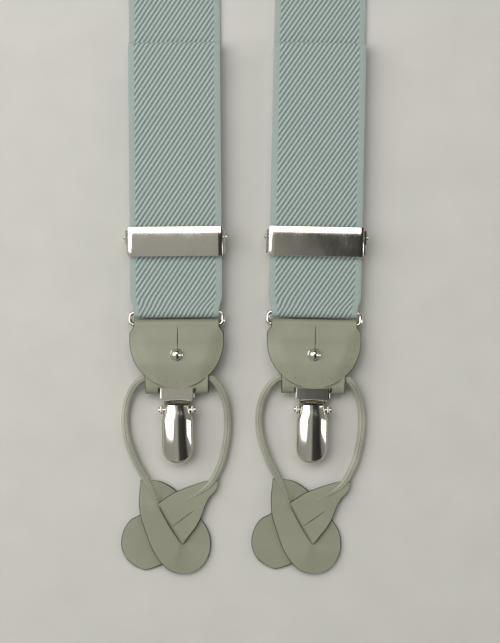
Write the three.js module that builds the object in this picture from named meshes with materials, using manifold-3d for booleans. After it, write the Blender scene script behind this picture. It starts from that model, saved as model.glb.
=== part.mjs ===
// Convertible dress suspenders, laid flat: two elastic front straps with sliding adjusters, a leather Y patch,
// a rear strap, and three leather ends. Each end has a ring, a buttoned leather flap, a clip on a folded tab
// and a rolled leather loop with two button tabs. Millimetres, +Z up, +X to the wearer's side, +Y towards the back.
import * as THREE from "three";
import { mergeVertices } from "three/addons/utils/BufferGeometryUtils.js";
import Module from "manifold-3d";

const wasm = await Module();
wasm.setup();

// ---- driving dimensions ----
const GAP = 0.3; // clearance between touching pieces
const STRAP_WIDTH = 35;
const STRAP_THICK = 0.9;
const STRAP_PINCH = STRAP_WIDTH - 2.4; // width of the strap where it passes the ring
const END_SPACING = 52.54; // between the two front straps
const LEFT_LEAN = 0.5; // degrees
const RIGHT_LEAN = -1.2;
const LEATHER = 0.9;
const RING_PLANE = 4; // height of the ring above the surface
const RING_WIRE = 0.8; // wire radius
const RING_BAR = RING_WIRE + GAP + STRAP_THICK + 0.25; // half the distance between the ring's two bars
const RING_HALF = STRAP_WIDTH / 2 + 0.2; // half the width of the ring's centre line
const FOLD_TOP = 105; // where the front layer turns under
const FOLD_LOW = 9; // where the middle layer turns back
const FREE_RUN = 185; // strap between the fold and the patch
const TAIL_END = 42; // end of the strap's doubled part
const PATCH_LENGTH = 60;
const PATCH_WIDE = 58;
const PATCH_NARROW = 41;
const PATCH_SEAM = 22; // length of strap inside the patch
const MERGE_RUN = 115; // length over which the front straps draw together
const RISE_RUN = 22; // where a strap climbs to its level in the patch
const REAR_RUN = 110; // rear strap between the patch and its ring
const STRAP_TARGET = 9; // sideways place of each front strap at the patch
const FLAP_RADIUS = STRAP_WIDTH / 2 + 0.4;
const FLAP_STRAIGHT = 8.5;
const FLAP_NECK = STRAP_WIDTH / 2 - 1.2; // half width of the leather at the ring
const STUD_Y = -13.7;
const STUD_POST = 0.9; // radius
const STUD_HEAD = 2.15; // radius
const TAB_WIDTH = 25;
const TAB_THICK = 0.7;
const CORD = 2.9; // diameter of the rolled leather
const CORD_Y = -22.6; // where it crosses behind the flap
const BAR_Y = -26; // clip's top bar
const BAR_RADIUS = 0.7;
const CLIP_SHEET = 0.8;
const CLIP_PIN_Y = -34.7;
const CLIP_PIN_Z = 5.8;
const CLIP_PIN_RADIUS = 0.7;
const CLIP_END = -54.6;
const LEVER_TOP = -32.9;
const LEVER_END = -55.2;
const LEVER_HALF = 6; // half the lever's greatest width
const LEVER_NECK = 4.7; // half width at the pivot
const LEVER_RIM = 4.3; // height of the lever's rim
const LEVER_CROWN = 8.9;
const LEVER_WALL = 0.7;
const JAW_Y = -37.4;
const JAW_Z = 3.9;
const ADJUSTER_Y = 29.2;
const ADJUSTER_TALL = 11.2;
const HINGE_RISE = 1.6; // how far the adjuster's pin lies above the cover's middle
const COVER_HALF = STRAP_WIDTH / 2 + 0.4;
const EAR_IN = COVER_HALF + GAP;
const EAR_THICK = 0.7;
const PIN_RADIUS = 0.55;
const TAB_LEAF = 1.1; // thickness of a button tab

// ---- heights that follow from the layers ----
const STEP = STRAP_THICK + GAP;
const WRAP = RING_WIRE + GAP + STRAP_THICK / 2; // centre radius of a layer round a bar
const LEVEL_LOW = 0.05 + STRAP_THICK / 2;
const LEVEL_MID = LEVEL_LOW + STEP + 0.05;
const BASE_LOW = LEVEL_MID + STRAP_THICK / 2 + GAP;
const LEVEL_TAIL = BASE_LOW + CLIP_SHEET + GAP + STRAP_THICK / 2;
const LEVEL_FRONT = LEVEL_TAIL + STEP;
const ADJUSTER_PIN_Z = LEVEL_FRONT + STRAP_THICK / 2 + GAP + PIN_RADIUS;
const COVER_LOW = ADJUSTER_PIN_Z + PIN_RADIUS + GAP;
const BACKING_Z = 0.7 + LEATHER / 2;
const TAB_LOW = BACKING_Z + LEATHER / 2 + GAP + TAB_THICK / 2;
const CORD_Z = TAB_LOW + TAB_THICK / 2 + GAP + CORD / 2;
const TAB_HIGH = CORD_Z + CORD / 2 + GAP + TAB_THICK / 2;
const FLAP_HIGH = TAB_HIGH + TAB_THICK / 2 + GAP + LEATHER / 2 + 0.1;
const PATCH_Y = FOLD_TOP + FREE_RUN;
const REAR_RING_Y = PATCH_Y + PATCH_LENGTH + REAR_RUN;

// ---- finishes ----
const finish = (color, roughness, metalness = 0) => new THREE.MeshStandardMaterial({ color, roughness, metalness });
const WEBBING = finish(0x9fb3b0, 0.85);
const GREY_LEATHER = finish(0x8f9080, 0.55);
const NICKEL = finish(0xd8d6cc, 0.18, 1);
const PAD = finish(0x2c2c2a, 0.7);

// ---- helpers ----
function toSolid(geometry) {
  const bare = geometry.index ? geometry.toNonIndexed() : geometry.clone();
  bare.deleteAttribute("normal");
  bare.deleteAttribute("uv");
  const merged = mergeVertices(bare, 1e-4);
  const index = merged.index.array;
  const kept = [];
  for (let i = 0; i < index.length; i += 3) {
    const [a, b, c] = [index[i], index[i + 1], index[i + 2]];
    if (a !== b && b !== c && a !== c) kept.push(a, b, c);
  }
  const vertProperties = new Float32Array(merged.attributes.position.array);
  return new wasm.Manifold(new wasm.Mesh({ numProp: 3, vertProperties, triVerts: new Uint32Array(kept) }));
}

function toMesh(solid, name, material) {
  const data = solid.getMesh();
  const geometry = new THREE.BufferGeometry();
  geometry.setAttribute("position", new THREE.BufferAttribute(new Float32Array(data.vertProperties), 3));
  geometry.setIndex(new THREE.BufferAttribute(new Uint32Array(data.triVerts), 1));
  geometry.computeVertexNormals();
  const mesh = new THREE.Mesh(geometry, material);
  mesh.name = name;
  return mesh;
}

const point = (a, b) => new THREE.Vector2(a, b);

function arc(y, z, radius, fromDeg, toDeg, steps = 8) {
  return Array.from({ length: steps + 1 }, (_, i) => {
    const angle = THREE.MathUtils.degToRad(fromDeg + ((toDeg - fromDeg) * i) / steps);
    return point(y + radius * Math.cos(angle), z + radius * Math.sin(angle));
  });
}

// The outline of a sheet of the given thickness that follows a path in the YZ plane.
function sheetOutline(path, thick) {
  const sides = [[], []];
  path.forEach((at, i) => {
    const before = at.clone().sub(path[Math.max(i - 1, 0)]).normalize();
    const after = path[Math.min(i + 1, path.length - 1)].clone().sub(at).normalize();
    const along = before.clone().add(after).normalize();
    const bend = Math.max(0.5, Math.abs(along.dot(i ? before : after)));
    const across = point(-along.y, along.x).multiplyScalar(thick / 2 / bend);
    sides[0].push(at.clone().add(across));
    sides[1].push(at.clone().sub(across));
  });
  return new THREE.Shape([...sides[0], ...sides[1].reverse()]);
}

const alongX = new THREE.Matrix4().makeBasis(
  new THREE.Vector3(0, 1, 0), new THREE.Vector3(0, 0, 1), new THREE.Vector3(1, 0, 0));

function extrudeX(shape, width) {
  const geometry = new THREE.ExtrudeGeometry(shape, { depth: width, bevelEnabled: false, steps: 1 });
  return geometry.applyMatrix4(alongX).translate(-width / 2, 0, 0);
}

function extrudeZ(shape, low, high) {
  return new THREE.ExtrudeGeometry(shape, { depth: high - low, bevelEnabled: false }).translate(0, 0, low);
}

function box(low, high) {
  const size = high.map((value, i) => value - low[i]);
  const middle = high.map((value, i) => (value + low[i]) / 2);
  return toSolid(new THREE.BoxGeometry(...size).translate(...middle));
}

function rod(radius, fromX, toX, y, z, sides = 16) {
  const geometry = new THREE.CylinderGeometry(radius, radius, toX - fromX, sides);
  return toSolid(geometry.rotateZ(Math.PI / 2).translate((fromX + toX) / 2, y, z));
}

function post(radius, low, high, x, y, sides = 20) {
  const geometry = new THREE.CylinderGeometry(radius, radius, high - low, sides);
  return toSolid(geometry.rotateX(Math.PI / 2).translate(x, y, (low + high) / 2));
}

// A sheet that follows a path in the YZ plane and is cut to an outline seen from above.
function cutSheet(path, thick, outline, holes = []) {
  const wide = toSolid(extrudeX(sheetOutline(path, thick), 80));
  const cut = wide.intersect(toSolid(extrudeZ(outline, -5, 20)));
  return holes.reduce((solid, hole) => solid.subtract(hole), cut);
}

function smooth(share) {
  const t = Math.min(1, Math.max(0, share));
  return t * t * (3 - 2 * t);
}

// ---- straps ----
function pinch(y) {
  return THREE.MathUtils.lerp(STRAP_PINCH / STRAP_WIDTH, 1, Math.min(1, Math.max(0, (Math.abs(y) - 4.5) / 3)));
}

function ringWrap(y) {
  return arc(y, RING_PLANE, WRAP, -90, -270, 10);
}

function stationsBetween(fromY, toY, z, count) {
  return Array.from({ length: count }, (_, i) => point(fromY + ((toY - fromY) * (i + 1)) / (count + 1), z));
}

// Front strap: tail, round the ring, up the front, over the top fold, down and back up, then on to the patch.
function frontStrapPath(layer) {
  const topRadius = (LEVEL_FRONT - LEVEL_MID) / 2;
  const lowRadius = (LEVEL_MID - LEVEL_LOW) / 2;
  const rise = layer * STEP + LEATHER + GAP;
  const patchZ = LEVEL_LOW + rise;
  return [
    point(TAIL_END, LEVEL_TAIL),
    point(FOLD_LOW + 4, LEVEL_TAIL),
    point(RING_BAR + 2, RING_PLANE - WRAP),
    ...ringWrap(RING_BAR),
    point(FOLD_LOW, LEVEL_FRONT),
    ...arc(FOLD_TOP - topRadius, (LEVEL_FRONT + LEVEL_MID) / 2, topRadius, 90, -90, 10),
    ...arc(FOLD_LOW + lowRadius, (LEVEL_MID + LEVEL_LOW) / 2, lowRadius, 90, 270, 8),
    point(PATCH_Y - MERGE_RUN, LEVEL_LOW),
    point(PATCH_Y - MERGE_RUN + RISE_RUN / 2, THREE.MathUtils.lerp(LEVEL_LOW, patchZ, 0.5)),
    point(PATCH_Y - MERGE_RUN + RISE_RUN, patchZ),
    ...stationsBetween(PATCH_Y - MERGE_RUN + RISE_RUN, PATCH_Y, patchZ, 12),
    point(PATCH_Y, patchZ),
    point(PATCH_Y + PATCH_SEAM, patchZ),
  ];
}

function frontStrap(name, centreX, leanDeg, side, layer) {
  const geometry = extrudeX(sheetOutline(frontStrapPath(layer), STRAP_THICK), STRAP_WIDTH);
  const lean = THREE.MathUtils.degToRad(leanDeg);
  const places = geometry.attributes.position;
  for (let i = 0; i < places.count; i++) {
    const y = places.getY(i);
    const target = (side * STRAP_TARGET - centreX + y * Math.sin(lean)) / Math.cos(lean);
    const shift = target * smooth((y - PATCH_Y + MERGE_RUN) / MERGE_RUN);
    places.setX(i, places.getX(i) * pinch(y) + shift);
  }
  return toMesh(toSolid(geometry), name, WEBBING);
}

// Rear strap in the rear end's own frame: the ring is at its origin and the patch towards +Y.
function rearStrap(name) {
  const patchZ = LEVEL_LOW + LEATHER + GAP;
  const path = [
    point(TAIL_END, LEVEL_TAIL),
    point(FOLD_LOW + 4, LEVEL_TAIL),
    point(RING_BAR + 2, RING_PLANE - WRAP),
    ...ringWrap(RING_BAR),
    point(FOLD_LOW, LEVEL_FRONT),
    point(TAIL_END + 4, LEVEL_FRONT),
    point(TAIL_END + 20, patchZ),
    point(REAR_RUN, patchZ),
    point(REAR_RUN + PATCH_SEAM, patchZ),
  ];
  const geometry = extrudeX(sheetOutline(path, STRAP_THICK), STRAP_WIDTH);
  const places = geometry.attributes.position;
  for (let i = 0; i < places.count; i++) places.setX(i, places.getX(i) * pinch(places.getY(i)));
  return toMesh(toSolid(geometry), name, WEBBING);
}

// ---- Y patch ----
function patchOutline(grow = 0) {
  const wide = PATCH_WIDE / 2 + grow;
  const narrow = PATCH_NARROW / 2 + grow;
  const outline = new THREE.Shape();
  outline.moveTo(-wide + 6, PATCH_Y);
  outline.quadraticCurveTo(0, PATCH_Y + 5, wide - 6, PATCH_Y);
  outline.quadraticCurveTo(wide, PATCH_Y, wide, PATCH_Y + 6);
  outline.quadraticCurveTo(wide, PATCH_Y + 24, narrow, PATCH_Y + 36);
  outline.lineTo(narrow, PATCH_Y + PATCH_LENGTH - 5);
  outline.quadraticCurveTo(narrow, PATCH_Y + PATCH_LENGTH, narrow - 5, PATCH_Y + PATCH_LENGTH);
  outline.lineTo(-narrow + 5, PATCH_Y + PATCH_LENGTH);
  outline.quadraticCurveTo(-narrow, PATCH_Y + PATCH_LENGTH, -narrow, PATCH_Y + PATCH_LENGTH - 5);
  outline.lineTo(-narrow, PATCH_Y + 36);
  outline.quadraticCurveTo(-wide, PATCH_Y + 24, -wide, PATCH_Y + 6);
  outline.quadraticCurveTo(-wide, PATCH_Y, -wide + 6, PATCH_Y);
  return outline;
}

function patch() {
  const above = 2 * STEP + LEATHER + GAP;
  return [
    toMesh(toSolid(extrudeZ(patchOutline(), 0.05, 0.05 + LEATHER)), "patch_back", GREY_LEATHER),
    toMesh(toSolid(extrudeZ(patchOutline(), above + 0.05, above + 0.05 + LEATHER)), "patch_front", GREY_LEATHER),
  ];
}

// ---- adjuster ----
function adjuster(side) {
  const hingeY = ADJUSTER_Y + HINGE_RISE;
  const low = ADJUSTER_Y - ADJUSTER_TALL / 2;
  const high = ADJUSTER_Y + ADJUSTER_TALL / 2;
  const earOut = EAR_IN + EAR_THICK;
  const pinHole = rod(PIN_RADIUS + GAP, -25, 25, hingeY, ADJUSTER_PIN_Z);
  const plate = box([-earOut, low + 1, BASE_LOW], [earOut, high - 1, BASE_LOW + CLIP_SHEET]);
  const ears = [-1, 1].map((s) => {
    const [inner, outer] = [s * EAR_IN, s * earOut].sort((a, b) => a - b);
    return box([inner, hingeY - 2.6, BASE_LOW], [outer, hingeY + 2.6, ADJUSTER_PIN_Z + 1.6]);
  });
  const base = plate.add(ears[0]).add(ears[1]).subtract(pinHole);
  const arch = [point(low, COVER_LOW + 0.1), point(low + 1.5, COVER_LOW + 0.6), point(ADJUSTER_Y, COVER_LOW + 1),
    point(high - 1.5, COVER_LOW + 0.85), point(high, COVER_LOW + 0.7)];
  const top = toSolid(extrudeX(sheetOutline(arch, CLIP_SHEET), 2 * COVER_HALF));
  const cheeks = [-1, 1].map((s) => {
    const [inner, outer] = [s * (COVER_HALF - 0.25), s * COVER_HALF - s * 0.95].sort((a, b) => a - b);
    return box([inner, hingeY - 2, ADJUSTER_PIN_Z - 0.2], [outer, hingeY + 1.3, COVER_LOW + 0.9]);
  });
  const lip = box([-COVER_HALF + 2, low + 0.6, LEVEL_FRONT + STRAP_THICK / 2 + GAP], [COVER_HALF - 2, low + 1.3, COVER_LOW + 0.4]);
  const cover = top.add(cheeks[0]).add(cheeks[1]).add(lip).subtract(pinHole);
  const heads = [-1, 1].map((s) => {
    const [from, to] = [s * (earOut + GAP), s * (earOut + GAP + 0.7)].sort((a, b) => a - b);
    return rod(PIN_RADIUS * 1.8, from, to, hingeY, ADJUSTER_PIN_Z);
  });
  const reach = earOut + GAP + 0.5;
  const pin = rod(PIN_RADIUS, -reach, reach, hingeY, ADJUSTER_PIN_Z).add(heads[0]).add(heads[1]);
  return [
    toMesh(base, "adjuster_base_" + side, NICKEL),
    toMesh(cover, "adjuster_cover_" + side, NICKEL),
    toMesh(pin, "adjuster_pin_" + side, NICKEL),
  ];
}

// ---- leather end ----
function ring(side) {
  const outline = (path, half, bar, corner) => {
    path.moveTo(-half + corner, -bar);
    path.lineTo(half - corner, -bar);
    path.absarc(half - corner, -bar + corner, corner, -Math.PI / 2, 0);
    path.absarc(half - corner, bar - corner, corner, 0, Math.PI / 2);
    path.lineTo(-half + corner, bar);
    path.absarc(-half + corner, bar - corner, corner, Math.PI / 2, Math.PI);
    path.absarc(-half + corner, -bar + corner, corner, Math.PI, 1.5 * Math.PI);
    return path;
  };
  const bevel = RING_WIRE * 0.55;
  const flat = RING_WIRE - bevel;
  const shape = outline(new THREE.Shape(), RING_HALF + flat, RING_BAR + flat, 1.5);
  shape.holes.push(outline(new THREE.Path(), RING_HALF - flat, RING_BAR - flat, 0.9));
  const geometry = new THREE.ExtrudeGeometry(shape, {
    depth: 2 * flat, bevelThickness: bevel, bevelSize: bevel, bevelSegments: 2, curveSegments: 3 });
  return toMesh(toSolid(geometry.translate(0, 0, RING_PLANE - flat)), "ring_" + side, NICKEL);
}

function flapOutline(inset = 0) {
  const radius = FLAP_RADIUS - inset;
  const neck = FLAP_NECK - inset;
  const outline = new THREE.Shape();
  outline.moveTo(-neck, 3);
  outline.lineTo(-neck, -3.2);
  outline.lineTo(-radius, -5.4);
  outline.lineTo(-radius, -FLAP_STRAIGHT);
  outline.absarc(0, -FLAP_STRAIGHT, radius, Math.PI, 2 * Math.PI);
  outline.lineTo(radius, -5.4);
  outline.lineTo(neck, -3.2);
  outline.lineTo(neck, 3);
  return outline;
}

function leatherEnd(side) {
  const studHole = post(STUD_POST + GAP, -2, 20, 0, STUD_Y);
  const flapPath = [
    point(-6.5, RING_PLANE - WRAP),
    ...arc(-RING_BAR, RING_PLANE, WRAP, -90, 90, 10),
    point(-9, FLAP_HIGH - 1.35),
    point(-18, FLAP_HIGH),
    point(-32, FLAP_HIGH),
  ];
  const flap = cutSheet(flapPath, LEATHER, flapOutline(), [studHole]);
  const backing = cutSheet([point(-2.6, BACKING_Z), point(-32, BACKING_Z)], LEATHER, flapOutline(0.2), [studHole]);
  const foldRadius = (TAB_HIGH - TAB_LOW) / 2;
  const tabPath = [
    point(-9.5, TAB_HIGH - 1.6),
    point(-18, TAB_HIGH),
    ...arc(BAR_Y - 0.2, (TAB_HIGH + TAB_LOW) / 2, foldRadius, 90, 270, 10),
    point(-9.5, TAB_LOW),
  ];
  const tabOutline = new THREE.Shape([point(-TAB_WIDTH / 2, -8), point(-TAB_WIDTH / 2 + 0.5, -32),
    point(TAB_WIDTH / 2 - 0.5, -32), point(TAB_WIDTH / 2, -8)]);
  const neck = box([-7.2, -32, CORD_Z - 0.9], [7.2, BAR_Y, TAB_HIGH + 2]);
  const tab = cutSheet(tabPath, TAB_THICK, tabOutline, [studHole, neck]);
  const flapTop = FLAP_HIGH - 1.35 + 1.35 * ((-9 - STUD_Y) / 9) + LEATHER / 2;
  const profile = [point(0, 0.7), point(STUD_POST, 0.7), point(STUD_POST, flapTop + 0.2),
    point(STUD_HEAD, flapTop + 0.9), point(STUD_HEAD * 0.92, flapTop + 1.8), point(STUD_HEAD * 0.6, flapTop + 2.5),
    point(0, flapTop + 2.8)];
  const stud = toSolid(new THREE.LatheGeometry(profile, 20).rotateX(Math.PI / 2).translate(0, STUD_Y, 0));
  return [
    toMesh(flap, "flap_" + side, GREY_LEATHER),
    toMesh(backing, "backing_" + side, GREY_LEATHER),
    toMesh(tab, "clip_tab_" + side, GREY_LEATHER),
    toMesh(stud, "stud_" + side, NICKEL),
    toMesh(post(2.4, 0.02, 0.4, 0, STUD_Y), "stud_screw_" + side, NICKEL),
    ring(side),
  ];
}

// ---- rolled leather loop and its button tabs ----
const LOOP_ROUTE = [
  [-13.1, -60.2, 1.6], [-15.6, -55.6, 1.6], [-17.7, -50.8, 1.6], [-19.4, -45.6, 1.6], [-20.1, -40.8, 1.6],
  [-20.1, -36.3, 1.7], [-19.1, -31.3, 2.1], [-17.2, -27.2, 3.0], [-14.8, -24.2, 4.1], [-12, -22.7, CORD_Z],
  [-6, CORD_Y, CORD_Z], [0, CORD_Y, CORD_Z], [6, CORD_Y, CORD_Z], [12, -22.7, CORD_Z], [14.6, -24.3, 4.1],
  [16.8, -27.6, 3.0], [18.5, -32.2, 2.1], [19.2, -38, 1.7], [19.1, -43.6, 1.6], [18.3, -49.1, 1.6],
  [16.9, -54.7, 1.6], [14.4, -60.4, 1.6],
];

function loopCord(side) {
  const route = new THREE.CatmullRomCurve3(LOOP_ROUTE.map((p) => new THREE.Vector3(...p)), false, "centripetal");
  const section = new THREE.Shape(Array.from({ length: 8 }, (_, i) => {
    const angle = (Math.PI / 4) * (i + 0.5);
    return point((CORD / 2) * Math.cos(angle), (CORD / 2) * Math.sin(angle));
  }));
  const geometry = new THREE.ExtrudeGeometry(section, { steps: 30, extrudePath: route });
  return toMesh(toSolid(geometry), "loop_cord_" + side, GREY_LEATHER);
}

const LEFT_TAB = [[-14.5, -61.6], [-15.1, -69.8], [-14.6, -75.4], [-12.7, -81.5], [-10.2, -88.2], [-6.6, -93.8],
  [-2.9, -96.8], [1.5, -97.7], [6, -96.8], [9.3, -94.3], [11.6, -90.4], [12.2, -86], [11.3, -81.5], [8.5, -76.8],
  [4.6, -71.6], [-0.7, -66.2], [-4.1, -63.7], [-7.4, -62.2], [-11, -61.9]];
const RIGHT_TAB = [[15.4, -62.3], [14.6, -65.6], [12, -68.6], [10.2, -72], [8.5, -76.5], [6.5, -80.1], [3.7, -83.7],
  [1.5, -86.8], [-2, -91], [-6.3, -94.1], [-12.2, -96.3], [-15.8, -95.4], [-19.4, -92.9], [-21.6, -89.3],
  [-22.2, -85.4], [-21.1, -80.9], [-18.6, -77.3], [-14.9, -75.2], [-7.7, -70.6], [-4.1, -68.1], [-0.7, -66.2],
  [6, -63.7], [10.4, -62.4], [13, -62.2]];

function buttonTab(name, corners, low) {
  const outline = new THREE.Shape(corners.map(([x, y]) => point(x, y)));
  return toMesh(toSolid(extrudeZ(outline, low, low + TAB_LEAF)), name, GREY_LEATHER);
}

// ---- clip ----
function leverOutline(inset) {
  const neck = LEVER_NECK - inset;
  const half = LEVER_HALF - inset;
  const end = LEVER_END + inset;
  const outline = new THREE.Shape();
  outline.moveTo(-neck, LEVER_TOP - inset);
  outline.bezierCurveTo(-neck, LEVER_TOP - 4, -half, LEVER_TOP - 5, -half, LEVER_TOP - 11);
  outline.bezierCurveTo(-half, end + 4.5, -half * 0.7, end, 0, end);
  outline.bezierCurveTo(half * 0.7, end, half, end + 4.5, half, LEVER_TOP - 11);
  outline.bezierCurveTo(half, LEVER_TOP - 5, neck, LEVER_TOP - 4, neck, LEVER_TOP - inset);
  return outline;
}

function leverDome(inset, top) {
  const bevel = 1.7;
  const geometry = new THREE.ExtrudeGeometry(leverOutline(inset), {
    depth: 6, bevelThickness: bevel, bevelSize: bevel, bevelOffset: -bevel, bevelSegments: 2, curveSegments: 5 });
  return toSolid(geometry.translate(0, 0, top - 6 - bevel));
}

function clip(side) {
  const pinHole = rod(CLIP_PIN_RADIUS + GAP, -20, 20, CLIP_PIN_Y, CLIP_PIN_Z);
  const plateZ = 2;
  const path = [point(BAR_Y, CORD_Z), point(-31, CORD_Z), point(-34.4, plateZ), point(CLIP_END - 4, plateZ)];
  const outline = new THREE.Shape([
    point(-6.5, BAR_Y), point(-6.5, -30.6), point(-4.9, -32), point(-4.9, -33), point(-6.3, -33.2), point(-6.3, -36.2),
    point(-4.6, -37), point(-4.6, CLIP_END + 3), point(-2.5, CLIP_END), point(2.5, CLIP_END),
    point(4.6, CLIP_END + 3), point(4.6, -37), point(6.3, -36.2), point(6.3, -33.2), point(4.9, -33), point(4.9, -32),
    point(6.5, -30.6), point(6.5, BAR_Y)]);
  const plate = cutSheet(path, CLIP_SHEET, outline);
  const bar = rod(BAR_RADIUS, -6.5, 6.5, BAR_Y, CORD_Z);
  const ears = [-1, 1].map((s) => {
    const [inner, outer] = [s * 5.5, s * 6.3].sort((a, b) => a - b);
    return box([inner, -36.2, 1.7], [outer, -33.2, CLIP_PIN_Z + 1.5]);
  });
  const body = plate.add(bar).add(ears[0]).add(ears[1]).subtract(pinHole);
  const heads = [-1, 1].map((s) => {
    const [from, to] = [s * 6.6, s * 7.2].sort((a, b) => a - b);
    return rod(1.15, from, to, CLIP_PIN_Y, CLIP_PIN_Z);
  });
  const pin = rod(CLIP_PIN_RADIUS, -7, 7, CLIP_PIN_Y, CLIP_PIN_Z).add(heads[0]).add(heads[1]);
  const under = box([-20, -70, -10], [20, -20, LEVER_RIM]);
  const opened = box([-3.9, LEVER_TOP - 1.2, 0], [3.9, LEVER_TOP + 1, LEVER_CROWN - LEVER_WALL]);
  const lever = leverDome(0, LEVER_CROWN).subtract(leverDome(LEVER_WALL, LEVER_CROWN - LEVER_WALL))
    .subtract(under).subtract(opened).subtract(pinHole);
  const jawShape = new THREE.Shape([point(-3.7, JAW_Y), point(-4.2, JAW_Y - 3), point(-4.2, CLIP_END + 3.2),
    point(-2.2, CLIP_END + 0.6), point(2.2, CLIP_END + 0.6), point(4.2, CLIP_END + 3.2), point(4.2, JAW_Y - 3),
    point(3.7, JAW_Y)]);
  const jaw = toSolid(extrudeZ(jawShape, JAW_Z - 0.4, JAW_Z + 0.4)).add(rod(0.6, -3.7, 3.7, JAW_Y, JAW_Z));
  const pad = box([-3.4, CLIP_END + 4, 2.75], [3.4, CLIP_END + 11, JAW_Z - 0.75]);
  return [
    toMesh(body, "clip_body_" + side, NICKEL),
    toMesh(pin, "clip_pin_" + side, NICKEL),
    toMesh(lever, "clip_lever_" + side, NICKEL),
    toMesh(jaw, "clip_jaw_" + side, NICKEL),
    toMesh(pad, "jaw_pad_" + side, PAD),
  ];
}

function end(side) {
  return [
    ...leatherEnd(side),
    loopCord(side),
    buttonTab("button_tab_left_" + side, LEFT_TAB, 1.6),
    buttonTab("button_tab_right_" + side, RIGHT_TAB, 0.1),
    ...clip(side),
  ];
}

function placed(meshes, x, y, turnDeg) {
  const group = new THREE.Group();
  group.add(...meshes);
  group.position.set(x, y, 0);
  group.rotation.z = THREE.MathUtils.degToRad(turnDeg);
  return group;
}

// ---- assembly ----
const half = END_SPACING / 2;
const suspenders = new THREE.Group();
suspenders.add(
  placed([frontStrap("strap_left", -half, LEFT_LEAN, -1, 0), ...adjuster("left"), ...end("left")], -half, 0, LEFT_LEAN),
  placed([frontStrap("strap_right", half, RIGHT_LEAN, 1, 1), ...adjuster("right"), ...end("right")], half, 0, RIGHT_LEAN),
  placed([rearStrap("strap_rear"), ...end("rear")], 0, REAR_RING_Y, 180),
  placed(patch(), 0, 0, 0),
);

// The origin is the middle of the underside, measured without the leather loops that lie loose.
suspenders.updateMatrixWorld(true);
const extent = new THREE.Box3();
suspenders.traverse((piece) => {
  if (piece.isMesh && !/^(loop_cord|button_tab)/.test(piece.name)) extent.expandByObject(piece, true);
});
const middle = extent.getCenter(new THREE.Vector3());
suspenders.children.forEach((part) => part.position.sub(new THREE.Vector3(middle.x, middle.y, extent.min.z)));

export default suspenders;
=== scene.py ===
"""Convertible dress suspenders laid flat: fabric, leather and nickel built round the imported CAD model."""
import logging  # noqa: E402
import math  # noqa: E402
from dataclasses import dataclass  # noqa: E402
from enum import Enum  # noqa: E402
from typing import Callable, Iterable, Sequence  # noqa: E402

import bpy  # noqa: E402
from mathutils import Matrix, Vector  # noqa: E402


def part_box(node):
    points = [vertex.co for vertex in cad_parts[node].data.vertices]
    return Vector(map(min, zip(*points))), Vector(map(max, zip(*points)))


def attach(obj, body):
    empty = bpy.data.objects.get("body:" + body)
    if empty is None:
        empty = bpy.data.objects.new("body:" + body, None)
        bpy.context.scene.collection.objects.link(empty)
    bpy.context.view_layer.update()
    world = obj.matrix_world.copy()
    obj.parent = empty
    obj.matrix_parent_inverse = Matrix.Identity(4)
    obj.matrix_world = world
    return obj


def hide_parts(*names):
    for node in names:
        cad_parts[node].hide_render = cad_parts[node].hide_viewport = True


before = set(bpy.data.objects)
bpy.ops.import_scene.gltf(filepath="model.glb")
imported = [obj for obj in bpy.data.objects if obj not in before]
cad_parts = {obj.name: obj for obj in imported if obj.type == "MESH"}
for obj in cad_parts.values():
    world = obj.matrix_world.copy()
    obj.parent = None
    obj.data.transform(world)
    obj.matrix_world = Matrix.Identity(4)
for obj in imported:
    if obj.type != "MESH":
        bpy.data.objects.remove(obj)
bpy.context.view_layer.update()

LOG = logging.getLogger("suspenders")
MM = 0.001
CAMERA_HEIGHT = 480  # millimetres above the rings
INKED = 0.24  # width of the dark finish that turns over a leather edge
Point = tuple[float, float]
Rows = list[list[Vector]]


class Side(Enum):
    """The three ends of the suspenders, with the turn of each end's own frame in degrees."""

    LEFT = ("left", 0.5)
    RIGHT = ("right", -1.2)
    REAR = ("rear", 180.0)

    @property
    def label(self) -> str:
        """The word that the CAD nodes of this end finish with."""
        return self.value[0]

    @property
    def turn(self) -> float:
        """The turn of this end about +Z, in radians."""
        return math.radians(self.value[1])


@dataclass(frozen=True)
class Layers:
    """Heights in millimetres that the leather and webbing share with the CAD model."""

    leather: float = 0.9
    ring: float = 4.0
    bar: float = 2.25
    wrap: float = 1.55
    low: float = 0.5
    middle: float = 1.75
    tail: float = 4.05
    front: float = 5.25
    backing: float = 1.15
    tab_low: float = 2.25
    cord: float = 4.35
    tab_high: float = 6.45


LAYERS = Layers()


# ---------------------------------------------------------------- geometry helpers


def end_matrix(side: Side) -> Matrix:
    """Gives the matrix from an end's own millimetres to the row frame in metres.

    Args:
        side: the end whose ring is the frame's origin.

    Returns:
        The placing matrix.
    """
    low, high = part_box("ring_" + side.label)
    middle = (low + high) / 2
    drop = middle.z - LAYERS.ring * MM
    return Matrix.Translation((middle.x, middle.y, drop)) @ Matrix.Rotation(side.turn, 4, "Z") @ Matrix.Scale(MM, 4)


def smooth(share: float) -> float:
    """Gives a smooth step from 0 to 1."""
    t = min(1.0, max(0.0, share))
    return t * t * (3 - 2 * t)


def arc(y: float, z: float, radius: float, start: float, stop: float, steps: int = 10) -> list[Point]:
    """Gives points on an arc in the YZ plane, angles in degrees."""
    angles = (math.radians(start + (stop - start) * i / steps) for i in range(steps + 1))
    return [(y + radius * math.cos(a), z + radius * math.sin(a)) for a in angles]


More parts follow.
